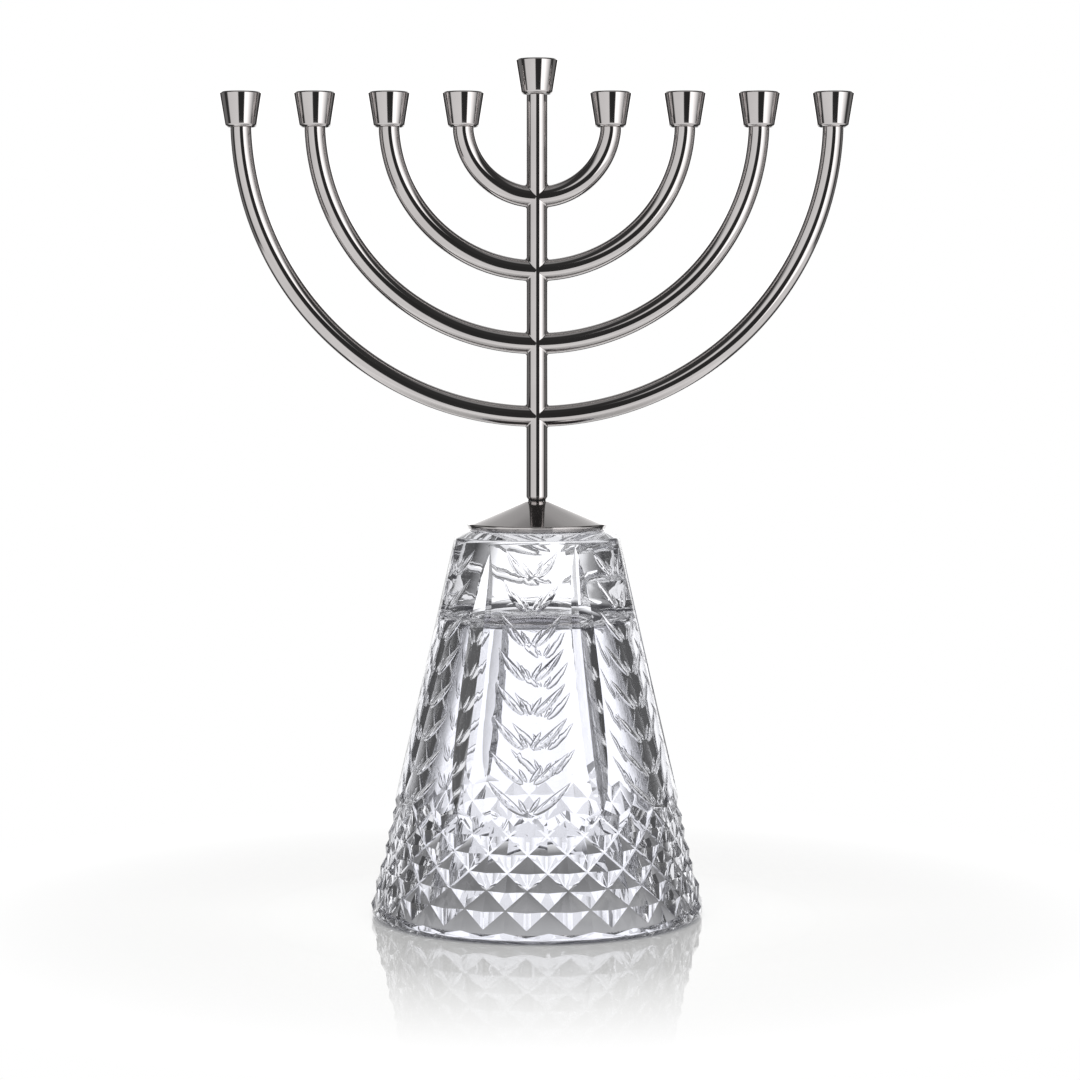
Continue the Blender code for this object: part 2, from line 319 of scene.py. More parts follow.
def bumped(nodes, links, shader, heights):
    """Stacks bumps, each (height, strength, distance in metres), on the shader's normal."""
    normal = None
    for height, strength, distance in heights:
        bump = nodes.new("ShaderNodeBump")
        bump.inputs["Strength"].default_value = strength
        bump.inputs["Distance"].default_value = distance
        links.new(height, bump.inputs["Height"])
        if normal:
            links.new(normal, bump.inputs["Normal"])
        normal = bump.outputs["Normal"]
    links.new(normal, shader.inputs["Normal"])


def two_tone(nodes, links, value, first, second, low=0.35, high=0.65):
    ramp = nodes.new("ShaderNodeValToRGB")
    ramp.color_ramp.elements[0].position = low
    ramp.color_ramp.elements[0].color = (*first, 1.0)
    ramp.color_ramp.elements[1].position = high
    ramp.color_ramp.elements[1].color = (*second, 1.0)
    links.new(value, ramp.inputs["Fac"])
    return ramp.outputs["Color"]


def shader_mix(nodes, links, factor, first, second):
    made = nodes.new("ShaderNodeMixShader")
    links.new(factor, made.inputs["Fac"])
    links.new(first, made.inputs[1])
    links.new(second, made.inputs[2])
    return made.outputs["Shader"]


def nickel_material(name, hazed=0.0):
    """Bright nickel plate: a faint patchy haze, buffing marks and the plating's slight waviness."""
    made, nodes, links, shader = new_material(name)
    place = nodes.new("ShaderNodeTexCoord").outputs["Object"]
    patches = noise(nodes, links, place, 38.0, 4.0, 0.6)
    fine = noise(nodes, links, place, 900.0, 2.0)
    buffed = noise(nodes, links, place, 260.0, 3.0, 0.6, stretch=(1.0, 1.0, 7.0))
    colour = two_tone(nodes, links, patches, (0.58, 0.553, 0.548), (0.64, 0.613, 0.606))
    links.new(colour, shader.inputs["Base Color"])
    shader.inputs["Metallic"].default_value = 1.0
    haze = mapped(nodes, links, patches, 0.35, 0.7, 0.035 + hazed, 0.085 + hazed)
    links.new(haze, shader.inputs["Roughness"])
    bumped(nodes, links, shader, [(patches, 0.02, 0.0003), (buffed, 0.006, 0.00003), (fine, 0.004, 0.00001)])
    return made


def crystal_material():
    """Polished lead crystal with the polish's faint waves. It lets most light through to the floor."""
    made, nodes, links, shader = new_material("cut_crystal")
    place = nodes.new("ShaderNodeTexCoord").outputs["Object"]
    waves = noise(nodes, links, place, 60.0, 2.0)
    marks = noise(nodes, links, place, 700.0, 3.0, 0.7)
    shader.inputs["Base Color"].default_value = (0.94, 0.945, 0.985, 1.0)
    shader.inputs["Transmission Weight"].default_value = 1.0
    shader.inputs["IOR"].default_value = 1.55
    links.new(mapped(nodes, links, marks, 0.45, 0.8, 0.0, 0.03), shader.inputs["Roughness"])
    bumped(nodes, links, shader, [(waves, 0.06, 0.0004), (marks, 0.015, 0.00003)])
    clear = nodes.new("ShaderNodeBsdfTransparent")
    clear.inputs["Color"].default_value = (0.79, 0.795, 0.81, 1.0)
    shadow = nodes.new("ShaderNodeLightPath").outputs["Is Shadow Ray"]
    surface = shader_mix(nodes, links, shadow, shader.outputs["BSDF"], clear.outputs["BSDF"])
    links.new(surface, nodes["Material Output"].inputs["Surface"])
    return made


def film_material():
    made, nodes, links, shader = new_material("clear_bond")
    place = nodes.new("ShaderNodeTexCoord").outputs["Object"]
    flow = noise(nodes, links, place, 120.0, 3.0)
    shader.inputs["Base Color"].default_value = (0.96, 0.965, 0.97, 1.0)
    shader.inputs["Transmission Weight"].default_value = 0.95
    shader.inputs["IOR"].default_value = 1.5
    links.new(mapped(nodes, links, flow, 0.3, 0.7, 0.05, 0.2), shader.inputs["Roughness"])
    bumped(nodes, links, shader, [(flow, 0.1, 0.0002)])
    return made


def nylon_material():
    made, nodes, links, shader = new_material("black_nylon")
    place = nodes.new("ShaderNodeTexCoord").outputs["Object"]
    grain = noise(nodes, links, place, 1500.0, 3.0)
    colour = two_tone(nodes, links, grain, (0.012, 0.012, 0.013), (0.03, 0.03, 0.031))
    links.new(colour, shader.inputs["Base Color"])
    links.new(mapped(nodes, links, grain, 0.3, 0.7, 0.42, 0.62), shader.inputs["Roughness"])
    bumped(nodes, links, shader, [(grain, 0.25, 0.00005)])
    return made


def steel_material():
    made, nodes, links, shader = new_material("threaded_steel")
    place = nodes.new("ShaderNodeTexCoord").outputs["Object"]
    rings = noise(nodes, links, place, 900.0, 3.0, 0.6, stretch=(1.0, 1.0, 6.0))
    colour = two_tone(nodes, links, rings, (0.36, 0.36, 0.37), (0.55, 0.55, 0.56))
    links.new(colour, shader.inputs["Base Color"])
    shader.inputs["Metallic"].default_value = 1.0
    links.new(mapped(nodes, links, rings, 0.3, 0.7, 0.22, 0.42), shader.inputs["Roughness"])
    bumped(nodes, links, shader, [(rings, 0.2, 0.00003)])
    return made


# ---------------------------------------------------------------- crystal panels


def cone_radius(z):
    return CONE_TOP_RADIUS + CONE_TAPER * (CONE_TOP_Z - z)


def flute_depth(z):
    """The flute's depth down its middle, eased over a few millimetres as a wheel leaves it."""
    heights, depths = zip(*reversed(FLUTE_PATH))
    return float(np.mean([np.interp(z + shift, heights, depths) for shift in np.linspace(-2.5, 2.5, 9)]))


def nearest(point, starts, ends):
    """How far along each line from its start the point comes nearest to it, as a share, and how far away."""
    along = ends - starts
    share = np.clip(((point - starts) * along).sum(1) / np.maximum((along**2).sum(1), 1e-12), 0.0, 1.0)
    return share, np.linalg.norm(starts + share[:, None] * along - point, axis=1)


class Leaf:
    """One leaf-shaped cut on a panel: a rounded groove along a bent line, with a blunt root and a fine tip."""

    def __init__(self, root, tip, sag, width, fullest=0.4, steps=22):
        root, tip = np.array(root), np.array(tip)
        along = tip - root
        side = np.array((along[1], -along[0])) / np.linalg.norm(along)
        if side[1] > 0:
            side = -side
        t = np.linspace(0.0, 1.0, steps + 1)
        self.middle = root + np.outer(t, along) + np.outer(4 * t * (1 - t) * sag, side)
        wave = np.clip(np.sin(np.pi * t ** (math.log(0.5) / math.log(fullest))), 0.0, None)
        blunt, fine = 0.55, 0.85
        self.half = width / 2 * wave ** np.where(t < fullest, blunt, fine)
        self.deepest = LEAF_DEPTH * min(1.0, width / LEAF_FULL_WIDTH)
        self.half[0] = self.half[-1] = 0.0

    def line(self, share):
        """The line up the leaf at a share of its half width from the middle."""
        tangent = np.gradient(self.middle, axis=0)
        tangent /= np.linalg.norm(tangent, axis=1)[:, None]
        normal = np.stack((-tangent[:, 1], tangent[:, 0]), axis=1)
        return self.middle + share * normal * self.half[:, None]

    def depth(self, point):
        share, away = nearest(point, self.middle[:-1], self.middle[1:])
        half = np.maximum(self.half[:-1] * (1 - share) + self.half[1:] * share, 1e-6)
        full = self.deepest * (half / self.half.max()) ** 0.9
        return float((full * (1.0 - np.minimum(away / half, 1.0) ** 2.0)).max())


def panel_leaves():
    """The leaf pairs up one panel, in (distance round the panel, height)."""
    leaves = []
    for k in range(LEAF_PAIRS):
        z = LATTICE_TOP_Z + (LEAF_STEP * k or FIRST_LEAF_RISE)
        spread = cone_radius(z + 6.0) / REST_RADIUS
        rise = LEAF_RISE if k < LEAF_PAIRS - 1 else LAST_LEAF_RISE
        for side, reach, lift, small_reach, small_rise in LEAF_SIDES:
            root = (side * LEAF_ROOT[0], z + LEAF_ROOT[1])
            tip = (side * reach * spread, z + rise + lift)
            leaves.append(Leaf(root, tip, sag=0.65, width=3.3))
            root = (side * SMALL_LEAF_ROOT[0], z + SMALL_LEAF_ROOT[1])
            tip = (side * small_reach, z + small_rise)
            leaves.append(Leaf(root, tip, sag=0.2, width=1.8, fullest=0.5, steps=12))
    return leaves


def cut_depth(x, z, leaves):
    """The depth of the deepest cut at a place on the panel."""
    r = cone_radius(z)
    found = 0.0
    for middle in (-HALF_PANEL, HALF_PANEL):
        found = max(found, flute_depth(z) - abs(x - middle * r) * FLUTE_SLOPE)
    reach = COLUMN_ANGLE * r
    for valley in VALLEY_ANGLES:
        share = 1.0 - abs(x - valley * r) / reach - (z - LATTICE_TOP_Z) / RUNOUT
        found = max(found, LATTICE_DEPTH * share)
    for leaf in leaves:
        if abs(z - leaf.middle[:, 1].mean()) < LEAF_RANGE:
            found = max(found, leaf.depth(np.array((x, z))))
    return found


class Drawing:
    """Lines on a panel, in (distance round the panel, height), that its mesh has to follow."""

    def __init__(self):
        self.points, self.edges = [], []

    def chain(self, line):
        first = len(self.points)
        self.points.extend(Vector((float(x), float(z))) for x, z in line)
        self.edges.extend((i, i + 1) for i in range(first, len(self.points) - 1))


def side_heights():
    """Heights of the points on a panel's sides, closer together where the flutes run out."""
    heights = [LATTICE_TOP_Z + s for s in (0.0, 0.8, 1.6, 2.4, 3.5, 5.0, 7.0, 9.5)]
    heights += [LATTICE_TOP_Z + s for s in np.arange(12.6, PANEL_TOP_Z - LATTICE_TOP_Z - 4.0, 3.15)]
    return heights + [141.8, 143.0, 144.0, 144.8, PANEL_TOP_Z]


def draw_outline(drawing):
    """The panel's sides, its fine top edge and its bottom edge, with the lattice's columns."""
    for side in (-1, 1):
        drawing.chain([(side * HALF_PANEL * cone_radius(z), z) for z in side_heights()])
    for z, count in ((PANEL_TOP_Z, PANEL_COLUMNS * FINE), (LATTICE_TOP_Z, PANEL_COLUMNS)):
        r = cone_radius(z)
        drawing.chain([(HALF_PANEL * r * (2 * i / count - 1), z) for i in range(count + 1)])


def draw_flutes(drawing):
    """The edges of the half flutes along the panel's sides, and their run-out at both ends."""
    heights = side_heights()
    cut = [z for z in heights if flute_depth(z) > 0.03]
    bottom, top = cut[0] - 0.4, cut[-1] + 0.5
    for side in (-1, 1):
        edge = []
        for z in heights:
            wide = flute_depth(z) / FLUTE_SLOPE
            if wide > 0.05:
                edge.append((side * (HALF_PANEL * cone_radius(z) - wide), z))
        drawing.chain([(side * HALF_PANEL * cone_radius(bottom), max(bottom, LATTICE_TOP_Z)), *edge])
        drawing.chain([edge[-1], (side * HALF_PANEL * cone_radius(top), min(top, PANEL_TOP_Z))])


def draw_runouts(drawing):
    """The points in which the valleys of the lattice's top row run out."""
    low_radius = cone_radius(LATTICE_TOP_Z)
    for valley in VALLEY_ANGLES:
        apex = (valley * cone_radius(LATTICE_TOP_Z + RUNOUT), LATTICE_TOP_Z + RUNOUT)
        for shift in (-COLUMN_ANGLE, 0.0, COLUMN_ANGLE):
            if abs(valley + shift) <= HALF_PANEL + 1e-6:
                drawing.chain([((valley + shift) * low_radius, LATTICE_TOP_Z), apex])


def draw_leaves(drawing, leaves):
    for leaf in leaves:
        drawing.chain(leaf.middle)
        for share in LEAF_LINES:
            drawing.chain(leaf.line(share))
            drawing.chain(leaf.line(-share))


def fill_between(drawing):
    """Staggered rows of points away from the lines, so that the smooth stretches follow the cone."""
    starts = np.array([tuple(drawing.points[a]) for a, _ in drawing.edges])
    ends = np.array([tuple(drawing.points[b]) for _, b in drawing.edges])
    count = PANEL_COLUMNS * FINE
    for row, z in enumerate(np.arange(LATTICE_TOP_Z + 6.0, PANEL_TOP_Z - 1.5, 3.9)):
        r = cone_radius(z)
        for i in range(1, count):
            x = HALF_PANEL * r * (2 * (i + 0.5 * (row % 2) - 0.25) / count - 1)
            if nearest(np.array((x, z)), starts, ends)[1].min() > 0.8:
                drawing.points.append(Vector((x, z)))


def panel_mesh():
    """One sixth of the crystal's cut cone, as ((angle, height, depth) vertices, triangles)."""
    leaves = panel_leaves()
    drawing = Drawing()
    draw_outline(drawing)
    draw_flutes(drawing)
    draw_runouts(drawing)
    draw_leaves(drawing, leaves)
    fill_between(drawing)
    made, _, faces, *_ = delaunay_2d_cdt(drawing.points, drawing.edges, [], 1, 1e-4, False)
    vertices = []
    for x, z in made:
        limit = HALF_PANEL * cone_radius(z)
        x = max(-limit, min(limit, x))
        vertices.append((x / cone_radius(z), z, cut_depth(x, z, leaves)))

    def flat(face):
        """True for a sliver that lies along the panel's outline."""
        angles, levels = [vertices[i][0] for i in face], [vertices[i][1] for i in face]
        on_side = min(angles) > HALF_PANEL - 1e-4 or max(angles) < 1e-4 - HALF_PANEL
        return on_side or max(levels) < LATTICE_TOP_Z + 1e-3 or min(levels) > PANEL_TOP_Z - 1e-3

    return vertices, [face for face in faces if not flat(face)]


# ---------------------------------------------------------------- crystal


def round_point(angle, radius, z):
    angle += CRYSTAL_TURN
    return (radius * math.sin(angle), -radius * math.cos(angle), z)


class Shell:
    """The crystal's points and faces, gathered from the panels down to the foot and up the hollow."""

    def __init__(self):
        self.points, self.faces = [], []

    def ring(self, radius, z):
        first = len(self.points)
        self.points.extend(round_point(math.tau * i / SMOOTH, radius, z) for i in range(SMOOTH))
        return [first + i for i in range(SMOOTH)]

    def bridge(self, low, high):
        for i in range(SMOOTH):
            j = (i + 1) % SMOOTH
            self.faces.append((low[i], low[j], high[j], high[i]))

    def bridge_all(self, rings):
        """Joins each smooth ring to the one after it."""
        for low, high in zip(rings, rings[1:]):
            self.bridge(low, high)

    def close(self, ring, z):
        """Closes a smooth ring with triangles to a point on the axis."""
        centre = len(self.points)
        self.points.append((0.0, 0.0, z))
        self.faces.extend((ring[i], ring[(i + 1) % SMOOTH], centre) for i in range(SMOOTH))


def add_panels(shell):
    vertices, triangles = panel_mesh()
    for panel in range(PANELS):
        first = len(shell.points)
        for angle, z, depth in vertices:
            shell.points.append(round_point(angle + math.tau * panel / PANELS, cone_radius(z) - depth, z))
        shell.faces.extend(tuple(first + i for i in face) for face in triangles)


def add_diamonds(shell):
    """The lattice, as rows of points. Even columns are valleys on even rows, and odd columns on odd rows."""
    rows = []
    z = LATTICE_TOP_Z
    for index, tip in enumerate(LATTICE_TIPS):
        row = []
        for column in range(COLUMNS):
            depth = LATTICE_DEPTH if column % 2 == index % 2 else 0.0
            if index == len(LATTICE_TIPS) - 1:
                depth *= LAST_VALLEY
            row.append(len(shell.points))
            shell.points.append(round_point(math.tau * column / COLUMNS, tip - depth, z))
        rows.append(row)
        z -= DIAMOND_RATIO * tip
    for index in range(len(rows) - 1):
        for column in range(COLUMNS):
            after = (column + 1) % COLUMNS
            a, b = rows[index][column], rows[index + 1][column]
            c, d = rows[index + 1][after], rows[index][after]
            if column % 2 == index % 2:
                shell.faces.extend(((a, b, c), (a, c, d)))
            else:
                shell.faces.extend(((a, b, d), (b, c, d)))
    return rows


def add_foot(shell, row):
    """Joins the lattice's last row to the foot's smooth rings, and returns the lowest of them."""
    rings = [shell.ring(r, z) for r, z in FOOT_RINGS]
    parity = (len(LATTICE_TIPS) - 1) % 2
    for column in range(COLUMNS):
        here, there = row[column], row[(column + 1) % COLUMNS]
        under = [rings[0][(column * FINE + i) % SMOOTH] for i in range(FINE + 1)]
        if column % 2 == parity:
            shell.faces.append((here, under[0], there))
            shell.faces.extend((there, under[i], under[i + 1]) for i in range(FINE))
        else:
            shell.faces.append((here, under[-1], there))
            shell.faces.extend((here, under[i], under[i + 1]) for i in range(FINE))
    for upper, lower in zip(rings, rings[1:]):
        shell.bridge(lower, upper)
    return rings[-1]


def cavity_profile():
    """(radius, height) up the inside of the hollow, from the foot to near the middle of its ceiling."""
    line = [(cone_radius(0.0) - WALL + 0.9, 0.0), (cone_radius(0.4) - WALL + 0.35, 0.35)]
    line += [(cone_radius(z) - WALL, z) for z in np.linspace(1.2, CEILING_Z - SHOULDER_DROP, 12)]
    return line + [(r, CEILING_Z + rise) for r, rise in DOME_RINGS]


def add_hollow(shell, foot):
    inner = [shell.ring(r, z) for r, z in cavity_profile()]
    shell.bridge_all([foot, *inner])
    shell.close(inner[-1], CEILING_Z + DOME_RISE)


def add_crown(shell):
    """The bevelled shoulder above the panels, and the flat seat of the cap."""
    tops = [shell.ring(r, z) for r, z in ((cone_radius(PANEL_TOP_Z), PANEL_TOP_Z), *CROWN_RINGS)]
    shell.bridge_all(tops)
    shell.close(tops[-1], CRYSTAL_TOP_Z)


def groove_edges(rows):
    """The edges between the lattice's valleys, as pairs of points."""
    grooves = set()
    for index in range(len(rows) - 1):
        for column in range(COLUMNS):
            after = (column + 1) % COLUMNS
            if column % 2 == index % 2:
                grooves.add((rows[index][column], rows[index + 1][after]))
            else:
                grooves.add((rows[index + 1][column], rows[index][after]))
    return grooves


def flattened_grooves(shell, grooves):
    """The shell's points and faces, with the narrow floor that a wheel leaves in each groove."""

    def place(point):
        return tuple(round(c, 2) for c in point)

    form = bmesh.new()
    corners = [form.verts.new(p) for p in shell.points]
    for face in shell.faces:
        form.faces.new([corners[i] for i in face])
    bmesh.ops.remove_doubles(form, verts=form.verts, dist=1e-3)
    wanted = {frozenset((place(shell.points[a]), place(shell.points[b]))) for a, b in grooves}
    found = [edge for edge in form.edges if frozenset(place(v.co) for v in edge.verts) in wanted]
    bmesh.ops.bevel(
        form,
        geom=found,
        offset=GROOVE_FLOOR,
        offset_type="OFFSET",
        segments=1,
        affect="EDGES",
        clamp_overlap=True,
    )
    form.verts.index_update()
    faces = [[v.index for v in face.verts] for face in form.faces]
    points = [tuple(v.co) for v in form.verts]
    form.free()
    return points, faces


def build_crystal(material):
    shell = Shell()
    add_panels(shell)
    rows = add_diamonds(shell)
    foot = add_foot(shell, rows[-1])
    add_hollow(shell, foot)
    add_crown(shell)
    points, faces = flattened_grooves(shell, groove_edges(rows))
    return add_piece("cut_crystal_base", points, faces, material, "base", "crystal_base", sharp=20.0)


# ---------------------------------------------------------------- metal


def box_mm(node):
    low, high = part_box(node)
    return low / MM, high / MM


def build_cap(material):
    low, high = box_mm("base_cap")
    top, rim, foot = high.z, high.x, low.z
    profile = (
        (0.0, top - CAP_HOLE_DEPTH, 0),
        (TAPPED_RADIUS, top - CAP_HOLE_DEPTH, 0.2),
        (TAPPED_RADIUS, top, 0.25),
        (CAP_TOP_RADIUS, top, 0.3),
        (rim - 0.25, foot + 2.15, 0.25),
        (rim - 0.05, foot + 1.75, 0.2),
        (rim - 0.75, foot, 0.25),
        (0.0, foot, 0),
    )
    return turned("turned_cap", profile, material, "base", "base_cap", steps=128)


def build_stem(material):
    low, high = box_mm("stem")
    bottom, top, radius = low.z, high.z, high.x
    shoulder = top - SPIGOT_LENGTH
    profile = (
        (0.0, top, 0),
        (SPIGOT_RADIUS, top, 0.2),
        (SPIGOT_RADIUS, shoulder, 0.1),
        (radius, shoulder, 0.12),
        (radius, bottom + 0.95, 0.5),
        (radius - 0.75, bottom, 0.35),
        (TAPPED_RADIUS, bottom, 0.2),
        (TAPPED_RADIUS, bottom + STEM_HOLE_DEPTH, 0.2),
        (0.0, bottom + STEM_HOLE_DEPTH, 0),
    )
    return turned("stem_rod", profile, material, "candelabrum", "stem", steps=STEM_SIDES)


def build_cup(word, node, material):
    low, high = box_mm(node)
    x, base, rim = (low.x + high.x) / 2, low.z, high.z
    outer = (high.x - low.x) / 2
    profile = (
        (0.0, base + BORE_FLOOR_RISE, 0),
        (BORE_FLOOR_RADIUS, base + BORE_FLOOR_RISE, 0.35),
        (BORE_MOUTH_RADIUS, rim, 0.35),
        (outer - 0.55, rim, 0.08),
        (outer - 0.02, rim - 0.55, 0.08),
        (outer - 2.05, base + 0.7, 0.5),
        (outer - 2.95, base, 0.35),
        (SOCKET_RADIUS, base, 0.15),
        (SOCKET_RADIUS, base + SOCKET_DEPTH, 0.1),
        (0.0, base + SOCKET_DEPTH, 0),
    )
    name = f"candle_cup_{word}"
    return turned(name, profile, material, "candelabrum", node, steps=80, x=x)


def arm_shape(node, cup):
    """The arm's side, reach, crossing height, bend radius, its cup's base height and its rod's radius."""
    arm_low, _ = box_mm(node)
    cup_low, cup_high = box_mm(cup)
    radius = box_mm("stem")[1].x
    reach = abs(cup_low.x + cup_high.x) / 2
    side = 1 if cup_low.x > 0 else -1
    crossing = arm_low.z + radius
    rise = cup_low.z - STRAIGHT_END - crossing
    return side, reach, crossing, (reach**2 + rise**2) / (2 * rise), cup_low.z, radius


def build_arm(word, pair, material):
    """A rod bent from the stem to upright, with a spigot that goes into its cup."""
    node = f"arm_{word}_{pair}"
    side, reach, crossing, bend, top, radius = arm_shape(node, f"cup_{word}_{pair}")
    last = math.acos(1 - (top - STRAIGHT_END - crossing) / bend)
    count = 26 + 14 * pair
    sections = []
    for i in range(count + 1):
        a = last * i / count
        sections.append((bend * math.sin(a), crossing + bend * (1 - math.cos(a)), a, radius))
    upright = (
        (top - 0.9, radius),
        (top - 0.12, radius),
        (top - 0.02, radius - 0.1),
        (top - 0.02, SPIGOT_RADIUS),
        (top + 2.1, SPIGOT_RADIUS),
        (top + 2.25, SPIGOT_RADIUS - 0.15),
    )
    sections.extend((reach, z, math.pi / 2, r) for z, r in upright)
    loops = []
    for x, z, a, r in sections:
        loop = []
        for i in range(ARM_SIDES):
            turn = math.tau * i / ARM_SIDES
            out, across = r * math.cos(turn), r * math.sin(turn)
            loop.append((side * (x + out * math.sin(a)), across, z - out * math.cos(a)))
        loops.append(loop)
    points, faces = swept(loops)
    name = f"bent_arm_{word}_{pair}"
    return add_piece(name, points, faces, material, "candelabrum", node, sharp=25.0)


def fillet_section(turn, above, centre_z, bend, radius):
    """A fillet's section: the arc of a ball that touches stem and arm, closed by a point inside the metal."""
    ball = radius + FILLET
    y, x = -ball * math.cos(turn), ball * math.sin(turn)
    out = bend - x if above else bend + x
    z = centre_z - math.sqrt(out**2 - x**2)
    middle = np.array((x, y, z))
    on_stem = np.array((x * radius / ball, y * radius / ball, z))
    toward = np.array((x, 0.0, z - centre_z)) / out
    spine = np.array((0.0, 0.0, centre_z)) + toward * bend
    on_arm = spine + (middle - spine) * radius / ball
    first, second = on_stem - middle, on_arm - middle
    angle = math.acos(np.clip(first @ second / FILLET**2, -1.0, 1.0))
    section = []
    for j in range(FILLET_STEPS + 1):
        t = j / FILLET_STEPS
        if angle < 1e-4:
            ray = first
        else:
            ray = (math.sin((1 - t) * angle) * first + math.sin(t * angle) * second) / math.sin(angle)
        section.append(middle + ray)
    inward = (on_stem + on_arm) / 2 - middle
    section.append((on_stem + on_arm) / 2 + inward * 0.9)
    return section


def build_braze(word, pair, material):
    """The small fillets between the stem and one arm, above and below, as a rolling ball would leave them."""
    side, _, crossing, bend, _, radius = arm_shape(f"arm_{word}_{pair}", f"cup_{word}_{pair}")
    points, faces = [], []
    for above in (True, False):
        loops = []
        for i in range(1, FILLET_SECTIONS):
            section = fillet_section(math.pi * i / FILLET_SECTIONS, above, crossing + bend, bend, radius)
            loops.append([(side * p[0], p[1], p[2]) for p in section])
        more, sides = swept(loops)
        faces.extend(tuple(len(points) + i for i in face) for face in sides)
        points.extend(more)
    name = f"braze_{word}_{pair}"
    return add_piece(name, points, faces, material, "candelabrum", None, sharp=35.0)


# ---------------------------------------------------------------- small parts


def build_washer(material):
    low, high = box_mm("stem_washer")
    outer, hole, bevel = high.x, WASHER_HOLE_RADIUS, WASHER_BEVEL
    profile = (
        (hole + bevel, low.z, 0),
        (outer - bevel, low.z, 0),
        (outer, low.z + bevel, 0),
        (outer, high.z - bevel, 0),
        (outer - bevel, high.z, 0),
        (hole + bevel, high.z, 0),
        (hole, high.z - bevel, 0),
        (hole, low.z + bevel, 0),
    )
    return turned("seal_washer", profile, material, "washer", "stem_washer", steps=64, ring=True)


def thread_radius(z, share, outer):
    """The ridge's radius at a height and a share of a turn."""
    phase = (z / THREAD_PITCH - share) % 1.0
    crest = min(1.0, max(0.0, 1.2 - abs(phase - 0.5) * 2 * 1.4))
    return outer - THREAD_DEPTH * (1 - crest)


def build_stud(material):
    """The stud with its real thread, a helix of one ridge that fades at both ends."""
    low, high = box_mm("stem_stud")
    count = int((high.z - low.z) / (THREAD_PITCH / STUD_ROWS))
    points = [(0.0, 0.0, low.z)]
    for row in range(count + 1):
        z = low.z + (high.z - low.z) * row / count
        lead = min(1.0, 0.35 + (z - low.z) / 0.8, 0.35 + (high.z - z) / 0.8)
        for i in range(STUD_SIDES):
            r = thread_radius(z, i / STUD_SIDES, high.x) * (0.82 + 0.18 * lead)
            a = math.tau * i / STUD_SIDES
            points.append((r * math.cos(a), r * math.sin(a), z))
    points.append((0.0, 0.0, high.z))
    faces = []
    for row in range(count):
        for i in range(STUD_SIDES):
            j = (i + 1) % STUD_SIDES
            a, b = 1 + row * STUD_SIDES + i, 1 + row * STUD_SIDES + j
            faces.append((a, b, b + STUD_SIDES, a + STUD_SIDES))
    end = 1 + count * STUD_SIDES
    for i in range(STUD_SIDES):
        j = (i + 1) % STUD_SIDES
        faces.append((0, 1 + j, 1 + i))
        faces.append((len(points) - 1, end + i, end + j))
    return add_piece("threaded_stud", points, faces, material, "candelabrum", "stem_stud", sharp=50.0)


def build_film(material):
    low, high = box_mm("bond_film")
    profile = (
        (0.0, low.z, 0),
        (high.x, low.z, 0.06),
        (high.x, high.z, 0.06),
        (0.0, high.z, 0),
    )
    return turned("bond_layer", profile, material, "base", "bond_film", steps=96)


# ---------------------------------------------------------------- studio


def ramp_of(nodes, stops):
    """A colour ramp of greys, from (position, grey) stops."""
    made = nodes.new("ShaderNodeValToRGB")
    ramp = made.color_ramp
    while len(ramp.elements) < len(stops):
        ramp.elements.new(0.5)
    for element, (position, grey) in zip(ramp.elements, stops):
        element.position = position
        element.color = (grey, grey, grey, 1.0)
    return made


def floor_material():
    """Pale and glossy by the menorah, plain white further out, and with painted shade through the crystal: rays
    through it see glowing greys in place of the floor's lit shade.
    """
    made, nodes, links, shader = new_material("studio_floor")
    place = nodes.new("ShaderNodeTexCoord").outputs["Object"]
    far = nodes.new("ShaderNodeVectorMath")
    far.operation = "LENGTH"
    links.new(place, far.inputs[0])
    far = far.outputs["Value"]
    grain = noise(nodes, links, place, 300.0, 3.0)
    shader.inputs["Base Color"].default_value = (0.56, 0.56, 0.555, 1.0)
    shader.inputs["Roughness"].default_value = 0.9
    shader.inputs["Specular IOR Level"].default_value = 0.0
    mirror = nodes.new("ShaderNodeBsdfGlossy")
    links.new(mapped(nodes, links, grain, 0.3, 0.7, 0.02, 0.03), mirror.inputs["Roughness"])
    gloss = mapped(nodes, links, far, 0.05, 0.26, 0.38, 0.0)
    polished = shader_mix(nodes, links, gloss, shader.outputs["BSDF"], mirror.outputs["BSDF"])
    glow = nodes.new("ShaderNodeEmission")
    glow.inputs["Strength"].default_value = 1.02
    whitened = mapped(nodes, links, far, 0.11, 0.23, 0.0, 1.0)
    seen = shader_mix(nodes, links, whitened, polished, glow.outputs["Emission"])

    # Painted shade: rays through the crystal see a glow in greys, darker before and under the foot and white
    # behind, in place of the floor's real shade.
    behind = nodes.new("ShaderNodeVectorMath")
    behind.operation = "DOT_PRODUCT"
    links.new(place, behind.inputs[0])
    behind.inputs[1].default_value = (-0.2, 1.0, 0.0)
    depths = ramp_of(nodes, PAINTED_FLOOR_SHADE_THROUGH_CRYSTAL)
    links.new(mapped(nodes, links, behind.outputs["Value"], -0.06, 0.14, 0.0, 1.0), depths.inputs["Fac"])
    shade = nodes.new("ShaderNodeEmission")
    links.new(depths.outputs["Color"], shade.inputs["Color"])
    through = nodes.new("ShaderNodeLightPath").outputs["Is Transmission Ray"]
    surface = shader_mix(nodes, links, through, seen, shade.outputs["Emission"])
    links.new(surface, nodes["Material Output"].inputs["Surface"])
    return made


def sweep_material():
    made, nodes, links, _ = new_material("studio_white")
    glow = nodes.new("ShaderNodeEmission")
    links.new(glow.outputs["Emission"], nodes["Material Output"].inputs["Surface"])
    return made


